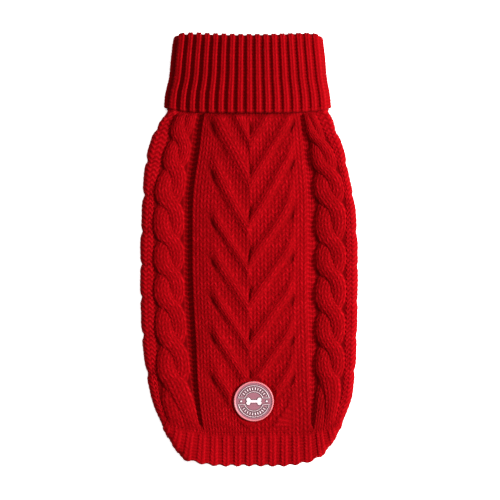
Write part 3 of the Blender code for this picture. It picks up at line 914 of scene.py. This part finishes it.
rib_count = 2 * (COLLAR_RIBS_ACROSS + COLLAR_RIBS_TURN)
ribs = counts(0, rib_count, PER_RIB)[None, :]
flap_rows = 88
inside = np.linspace(0, 1, flap_rows // 2 - 8)
over = np.linspace(0, math.pi, 10)[1:-1]
flap = np.linspace(1, 0, flap_rows + 1)
middle = collar_middle(ribs, inside, over, flap)
flap_length = COLLAR_TOP - FLAP_END
courses = COLLAR_COURSES * np.concatenate([inside, 1 + 0 * over, 2 - flap])[:, None]
rib, course = np.broadcast_arrays(ribs, courses)
to_edge = np.concatenate([1 + inside, 1 + over, flap])[:, None] * flap_length
aside = middle[..., 0] / COLLAR_OUTLINE[0][1]
relief, fine = rib_relief(rib, course, COLLAR_RIDGE, 1 - COLLAR_LEAN * np.clip(aside, -1, 1))
relief = cast_off(relief, to_edge, *COLLAR_CAST_OFF)
relief = np.where(courses < COLLAR_COURSES * 0.9, np.minimum(relief - INSIDE_PRESS, 0), relief)
from_fold = np.abs(courses / COLLAR_COURSES - 1)
relief = relief * (0.7 + 0.3 * smooth_step((from_fold - 0.02) / 0.06))
outer = outer_face(middle, relief, joined=True)
on_top = smooth_step((middle[..., 2] - WALL - LAYER_PITCH) / WALL)
outer[..., 2] += COLLAR_CROWN * on_top * np.clip(1 - aside**2, 0, 1)
piece = shell("collar_rib", outer, inner_face(middle, joined=True), rib, course, fine, joined=True)
finish_cloth(piece, "collar")


# The back's hem band: a wide rib with purl valleys, knitted on to the back panel and cast off. It fans out at
# the corners, where it turns under with the sides and follows both lips up.

HEM_DEPTH = 0.0284
HEM_LEAN = math.radians(52)
HEM_TRIM_LEFT, HEM_TRIM_RIGHT = 0.06, 0.19
TRIM_START, TRIM_WIDTH = 0.25, 0.5
TRIM_END, TRIM_END_WIDTH = 1.2, 0.6
FOLD_EASE = 0.0007
FOLD_MIDDLE = 1.15
EASE_REACH = 0.3
BELLY_ARCH = 0.028
HEM_RIB = 0.0097
HEM_COURSES = 10
HEM_PER_COURSE = 6
HEM_SCALLOP = 0.0016
HEM_TUCK, TUCK_DROP, TUCK_LIFT = 0.0012, 0.0009, 0.0006
HEM_GROWTH = 0.005
HEM_RIDGE, HEM_RELIEF = 0.6, 0.5
HEM_CAST_OFF = (0.0034, 0.7, 0.0002)


def hem_back_flat(stitch, depth):
    """The back's band laid out flat, from the hem seam outwards, its lines fanned at the corners."""
    column = np.sign(stitch) * np.interp(np.abs(stitch), PATTERN_ENDS, PATTERN_COLUMNS)
    lean = HEM_LEAN * smooth_step((np.abs(column) - RISE_START) / (2 - RISE_START)) * np.sign(column)
    direction = np.stack([np.sin(lean), -np.cos(lean)], axis=-1)
    ease = FOLD_EASE * smooth_step(1 - np.abs(np.abs(column) - FOLD_MIDDLE) / EASE_REACH)
    trim = np.where(column < 0, HEM_TRIM_LEFT, HEM_TRIM_RIGHT)
    trim = trim * smooth_step((np.abs(column) - TRIM_START) / TRIM_WIDTH)
    trim *= 1 - smooth_step((np.abs(column) - TRIM_END) / TRIM_END_WIDTH)
    run = depth * (1 - trim) + ease * (1 - depth / HEM_DEPTH)
    return back_flat(stitch, np.ones_like(stitch)) + run[..., None] * direction


def scalloped(rib, depth):
    """Depth with the cast-off edge drawn in between the ribs, more and more towards the edge."""
    return depth - HEM_SCALLOP * (0.5 - 0.5 * np.cos(2 * math.pi * rib)) * (depth / HEM_DEPTH) ** 3


def ribs_along(seam, centre_at):
    """Ribs counted along a seam's points from where centre_at puts the middle, given the lengths to them."""
    length = np.concatenate([[0], np.cumsum(np.linalg.norm(np.diff(seam, axis=0), axis=1))])
    return (length - centre_at(length))[None, :] / HEM_RIB


def hem_band(name, node, middle, face, rib, depth, plain):
    """A band of wide rib over its middle surface, of which face gives the outer side.

    It grows out of the plain knitting at the seam, short of which it sinks to lie under the panel's own edge,
    and it closes up and rounds off at the cast-off edge.
    """
    course = depth / HEM_DEPTH * HEM_COURSES
    relief, fine = rib_relief(rib, course, HEM_RIDGE, HEM_RELIEF)
    relief = cast_off(relief, HEM_DEPTH - depth, *HEM_CAST_OFF)
    grown, under = smooth_step(depth / HEM_GROWTH), smooth_step(-depth / HEM_TUCK)
    smooth = PLAIN_RELIEF * (plain - 1)
    relief = smooth + (relief - smooth) * grown - TUCK_DROP * under
    fine = plain + (fine - plain) * grown
    piece = shell(name, face(middle, relief), inner_face(middle, TUCK_LIFT * under), rib, course, fine)
    finish_cloth(piece, node)


stitches = counts(-LIP_END, LIP_END, PER_STITCH)[None, :]
hem_courses = counts(0, HEM_COURSES, HEM_PER_COURSE)[:, None]
depths = hem_courses / HEM_COURSES * (HEM_DEPTH + HEM_TUCK) - HEM_TUCK
stitch, depth = np.broadcast_arrays(stitches, depths)
base = hem_back_flat(stitches[0], depths[0] + 0 * stitches[0])
rib = ribs_along(base, lambda length: np.interp(0, base[:, 0], length)) + 0 * depth
middle = folded(hem_back_flat(stitch, scalloped(rib, depth)))
plain = plain_stitch(stitch, PANEL_COURSES + depth / HEM_DEPTH * HEM_COURSES)
hem_band("hem_rib_back", "hem_back", middle, outer_face, rib, depth, plain)


# The belly panel: plain knitting between the lips of the back panel, with two leg holes and an arched end
# above its own short rib band. It lies on the table, so its stitches are pressed flat.

LEG_CENTRE = (0.032, 0.036)
LEG_HOLE = (0.0235, 0.0305)
PUNCH_CORNERS, PUNCH_HEIGHTS = 96, (-0.01, 0.015)
CUFF_WIDTH = 0.0085
BELLY_STITCHES = 22
BELLY_COURSES = 54


def belly_plan(across, row):
    """The belly panel between the lips: across -1 to 1, row 0 at the neck and 1 at the arched hem seam."""
    across, row = np.broadcast_arrays(across, row)
    along = NECK_SEAM + (hem_height(2.0) - NECK_SEAM) * row
    gap = SEAM_GAP / math.cos(HEM_LEAN)
    edges = []
    for side, sign in ((LEFT, -1), (RIGHT, 1)):
        start, outward = side_line(side, along)
        edges.append((start - (LIP_WIDTH + gap) * outward) * (sign, 1))
    plan = edges[0] + (edges[1] - edges[0]) * (across[..., None] + 1) / 2
    plan[..., 1] += BELLY_ARCH * (1 - across**2) * row**2
    return plan


def laid(plan):
    """Cloth of the belly layer, given where it lies."""
    return np.concatenate([plan, belly_height(plan[..., 1:])], axis=-1)


def pressed(middle, relief, joined=False):
    """The face the cloth rests on: its highest stitches reach the wall's face and the rest lie above it."""
    return outer_face(middle, relief - PLAIN_RELIEF, joined)


def leg_cutter(sign):
    """An oval punch through the belly panel."""
    low = np.arange(PUNCH_CORNERS)
    next_low = (low + 1) % PUNCH_CORNERS
    angle = 2 * math.pi * low / PUNCH_CORNERS
    x = sign * LEG_CENTRE[0] + LEG_HOLE[0] * np.cos(angle)
    y = LEG_CENTRE[1] + LEG_HOLE[1] * np.sin(angle)
    rings = [np.column_stack([x, y, 0 * x + height]) for height in PUNCH_HEIGHTS]
    high, next_high = low + PUNCH_CORNERS, next_low + PUNCH_CORNERS
    sides = np.stack([low, next_low, next_high, high], axis=-1)
    faces = [*sides.tolist(), low[::-1].tolist(), high.tolist()]
    mesh = bpy.data.meshes.new("leg_cutter")
    mesh.from_pydata(np.concatenate(rings).tolist(), [], faces)
    return add_object("leg_cutter", mesh)


def cut(piece, cutters):
    """The piece with holes cut by these shapes, which are then removed."""
    for cutter in cutters:
        hole = piece.modifiers.new("hole", "BOOLEAN")
        hole.object = cutter
    graph = bpy.context.evaluated_depsgraph_get()
    mesh = bpy.data.meshes.new_from_object(piece.evaluated_get(graph))
    piece.modifiers.clear()
    piece.data = mesh
    for cutter in cutters:
        bpy.data.objects.remove(cutter)


per_stitch, per_course = ((8, 6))
stitches = counts(0, BELLY_STITCHES, per_stitch)[None, ::-1]
courses = counts(0, BELLY_COURSES, per_course)[:, None]
stitch, course = np.broadcast_arrays(stitches, courses)
middle = laid(belly_plan(2 * stitch / BELLY_STITCHES - 1, course / BELLY_COURSES))
fine = plain_stitch(stitch, course)
outer = pressed(middle, PLAIN_RELIEF * fine)
piece = shell("belly_knit", outer, inner_face(middle), stitch, course, fine)
cut(piece, [leg_cutter(-1), leg_cutter(1)])
finish_cloth(piece, "belly_panel")


# The belly's hem band: the same wide rib, knitted on along the arched end of the belly panel. Its ribs lean
# in at the ends, where it meets the back's band.

STITCHES_PER_RIB = 1.7

across = counts(-1, 1, 110)[::-1]
base = belly_plan(across, np.ones_like(across))
ends = hem_back_flat(np.array([[-LIP_END, LIP_END]] * 2, float), np.array([[0, 0], [HEM_DEPTH, HEM_DEPTH]]))
run = ends[1] - ends[0]
leans = np.arctan2(run[:, 0], -run[:, 1])
lean = np.interp(across, (-1, 0, 1), (leans[0], 0, leans[1]))
direction = np.column_stack([np.sin(lean), -np.cos(lean)])
depth = depths + 0 * across
rib = ribs_along(base, lambda length: length[-1] / 2) + 0 * depth
middle = laid(base[None] + scalloped(rib, depth)[..., None] * direction[None])
plain = plain_stitch(STITCHES_PER_RIB * rib, depth / HEM_DEPTH * HEM_COURSES)
hem_band("hem_rib_belly", "hem_belly", middle, pressed, rib, depth, plain)


# The leg cuffs: narrow rings of rib, knitted on round the leg holes in the belly panel. They lie pressed flat
# like the belly.

CUFF_RIBS, CUFF_COURSES, CUFF_RIDGE = 28, 4, 0.56


def cuff_middle(sign, turn, share):
    """A flat oval ring: share 0 at the hole's edge, 1 at the cuff's free edge."""
    plan = []
    for axis, wave in ((0, np.cos(turn)), (1, np.sin(turn))):
        outer, inner = LEG_HOLE[axis] - SEAM_GAP, LEG_HOLE[axis] - CUFF_WIDTH
        plan.append((sign * LEG_CENTRE[0], LEG_CENTRE[1])[axis] + (outer + (inner - outer) * share) * wave)
    return laid(np.stack(plan, axis=-1))


for name, sign in (("leg_cuff_left", -1), ("leg_cuff_right", 1)):
    rib, course = np.broadcast_arrays(counts(0, CUFF_RIBS, 8)[None, :], counts(0, CUFF_COURSES, 4)[:, None])
    middle = cuff_middle(sign, 2 * math.pi * rib / CUFF_RIBS, course / CUFF_COURSES)
    relief, fine = rib_relief(rib, course, CUFF_RIDGE)
    outer, inner = pressed(middle, relief, joined=True), inner_face(middle, joined=True)
    piece = shell(name + "_rib", outer, inner, rib, course, fine, joined=True)
    finish_cloth(piece, name)


# The badge: a soft rubber disc, moulded in one with a raised rim and pale raised lines and fixed on to the
# back panel. Its lines make two arched windows with ticks in them, two studs and a plain bone.

BADGE_THICKNESS = 0.0022
BADGE_FLOOR = WALL + LAYER_PITCH + SEAM_GAP
BADGE_ROUND, BADGE_RELIEF = 0.0004, 0.0005
WINDOW_EDGE = 0.0027
WINDOW_ARCS = (0.0080, 0.0130)
WINDOW_LINE, TICK_LINE, TICK_LONG = 0.00028, 0.00042, 0.0008
TICK_STEP = math.radians(12)
STUD_PLACE, STUD_RADIUS = 0.0106, 0.0009
BONE_REACH, BONE_HALF, KNOB_PLACE, KNOB_RADIUS = 0.0036, 0.0012, (0.0046, 0.0014), 0.0018
RIM_INSIDE = 0.0151
# How far the painted shadow round each raised line reaches.
LINE_SHADOW_WIDTH = 0.0006
# Colours of the face, the rim, the painted shadow beside the lines, and the lines.
FACE_PINK, RIM_PINK = (0.20, 0.062, 0.085, 1), (0.46, 0.115, 0.13, 1)
SHADOW_PINK, LINE_WHITE = (0.040, 0.012, 0.018, 1), (0.62, 0.46, 0.48, 1)


def moulded(distance, half, soft=0.00018):
    """1 within half of a line, falling to 0 over a soft edge."""
    return smooth_step((half - distance) / soft)


def badge_lines(radius, turn, wider=0):
    """Where the raised lines stand on the face: 1 on them and 0 between, each wider by the same amount.

    Two arched windows, above and below, hold a row of short ticks each. There is a stud at either side and
    a bone in the middle.
    """
    x, y = np.abs(radius * np.cos(turn)), np.abs(radius * np.sin(turn))
    high, wide = y > WINDOW_EDGE, (radius > WINDOW_ARCS[0]) & (radius < WINDOW_ARCS[1])
    arcs = np.minimum(np.abs(radius - WINDOW_ARCS[0]), np.abs(radius - WINDOW_ARCS[1])) + ~high
    windows = moulded(np.minimum(arcs, np.abs(y - WINDOW_EDGE) + ~wide), WINDOW_LINE + wider)
    nearest = np.round(turn / TICK_STEP) * TICK_STEP
    beside, outwards = np.abs(radius * np.sin(turn - nearest)), radius * np.cos(turn - nearest)
    tick = np.hypot(beside, np.maximum(np.abs(outwards - np.mean(WINDOW_ARCS)) - TICK_LONG, 0))
    ticks = moulded(tick + (y < WINDOW_EDGE + 0.0018), TICK_LINE + wider)
    studs = moulded(np.hypot(x - STUD_PLACE, y), STUD_RADIUS + wider)
    shaft = moulded(np.hypot(np.maximum(x - BONE_REACH, 0), y), BONE_HALF + wider)
    knobs = moulded(np.hypot(x - KNOB_PLACE[0], y - KNOB_PLACE[1]), KNOB_RADIUS + wider)
    return np.maximum.reduce([windows, ticks, studs, shaft, knobs])


turn = np.linspace(0, 2 * math.pi, 289)[None, :-1]
face = np.linspace(0, BADGE_RADIUS - BADGE_ROUND, 76)
rounded = np.linspace(0, math.pi / 2, 6)[1:]
edge = BADGE_RADIUS - BADGE_ROUND * (1 - np.sin(rounded))
radius = np.concatenate([face, edge, [BADGE_RADIUS, 0.012, 0.0]])[:, None]
drop = np.concatenate([0 * face, BADGE_ROUND * (1 - np.cos(rounded)), 3 * [BADGE_THICKNESS]])[:, None]
radius, turn = np.broadcast_arrays(radius, turn)
rim = smooth_step((radius - RIM_INSIDE) / 0.0003)
lines = badge_lines(radius, turn)
# A painted shadow round each raised line, on the face and not on the rim.
painted_line_shadows = np.clip(badge_lines(radius, turn, LINE_SHADOW_WIDTH) - lines, 0, 1) * (1 - rim)
stand = np.maximum(lines, rim) * (drop < BADGE_THICKNESS)
top = np.maximum(BADGE_THICKNESS - BADGE_RELIEF * (1 - stand) - drop, 0)
x, y = BADGE_CENTRE[0] + radius * np.cos(turn), BADGE_CENTRE[1] + radius * np.sin(turn)
points = np.stack([x, y, BADGE_FLOOR + top], axis=-1)
index = np.arange(radius.size).reshape(radius.shape)
faces = quads(np.concatenate([index, index[:, :1]], axis=1))
mesh = bpy.data.meshes.new("badge_disc")
mesh.from_pydata(points.reshape(-1, 3).tolist(), [], faces.tolist())
for attribute, values in (("lines", lines), ("painted_line_shadows", painted_line_shadows), ("rim", rim)):
    layer = mesh.attributes.new(attribute, "FLOAT", "POINT")
    layer.data.foreach_set("value", values.ravel().astype(np.float32))
shape = bmesh.new()
shape.from_mesh(mesh)
bmesh.ops.remove_doubles(shape, verts=shape.verts[:], dist=1e-6)
shape.to_mesh(mesh)
shape.free()
mesh.shade_smooth()
piece = add_object("badge_disc", mesh)

material, tree, shader = add_material("moulded_rubber")
on_line, painted_line_shadow, on_rim = (
    add_node(tree, "Attribute", {"attribute_name": name}, {}, "Fac") for name in ("lines", "painted_line_shadows", "rim")
)
grain = add_node(tree, "TexNoise", {}, {"Scale": 900.0, "Detail": 2.0})
tint = mixed(tree, on_rim, FACE_PINK, RIM_PINK)
# The painted shadow beside the raised lines.
tint = mixed(tree, painted_line_shadow, tint, SHADOW_PINK)
tint = mixed(tree, on_line, tint, LINE_WHITE)
tree.links.new(tint.socket, shader.inputs["Base Color"])
tree.links.new((grain * 0.1 + 0.42).socket, shader.inputs["Roughness"])
mesh.materials.append(material)
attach(piece, "root")
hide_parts("badge")
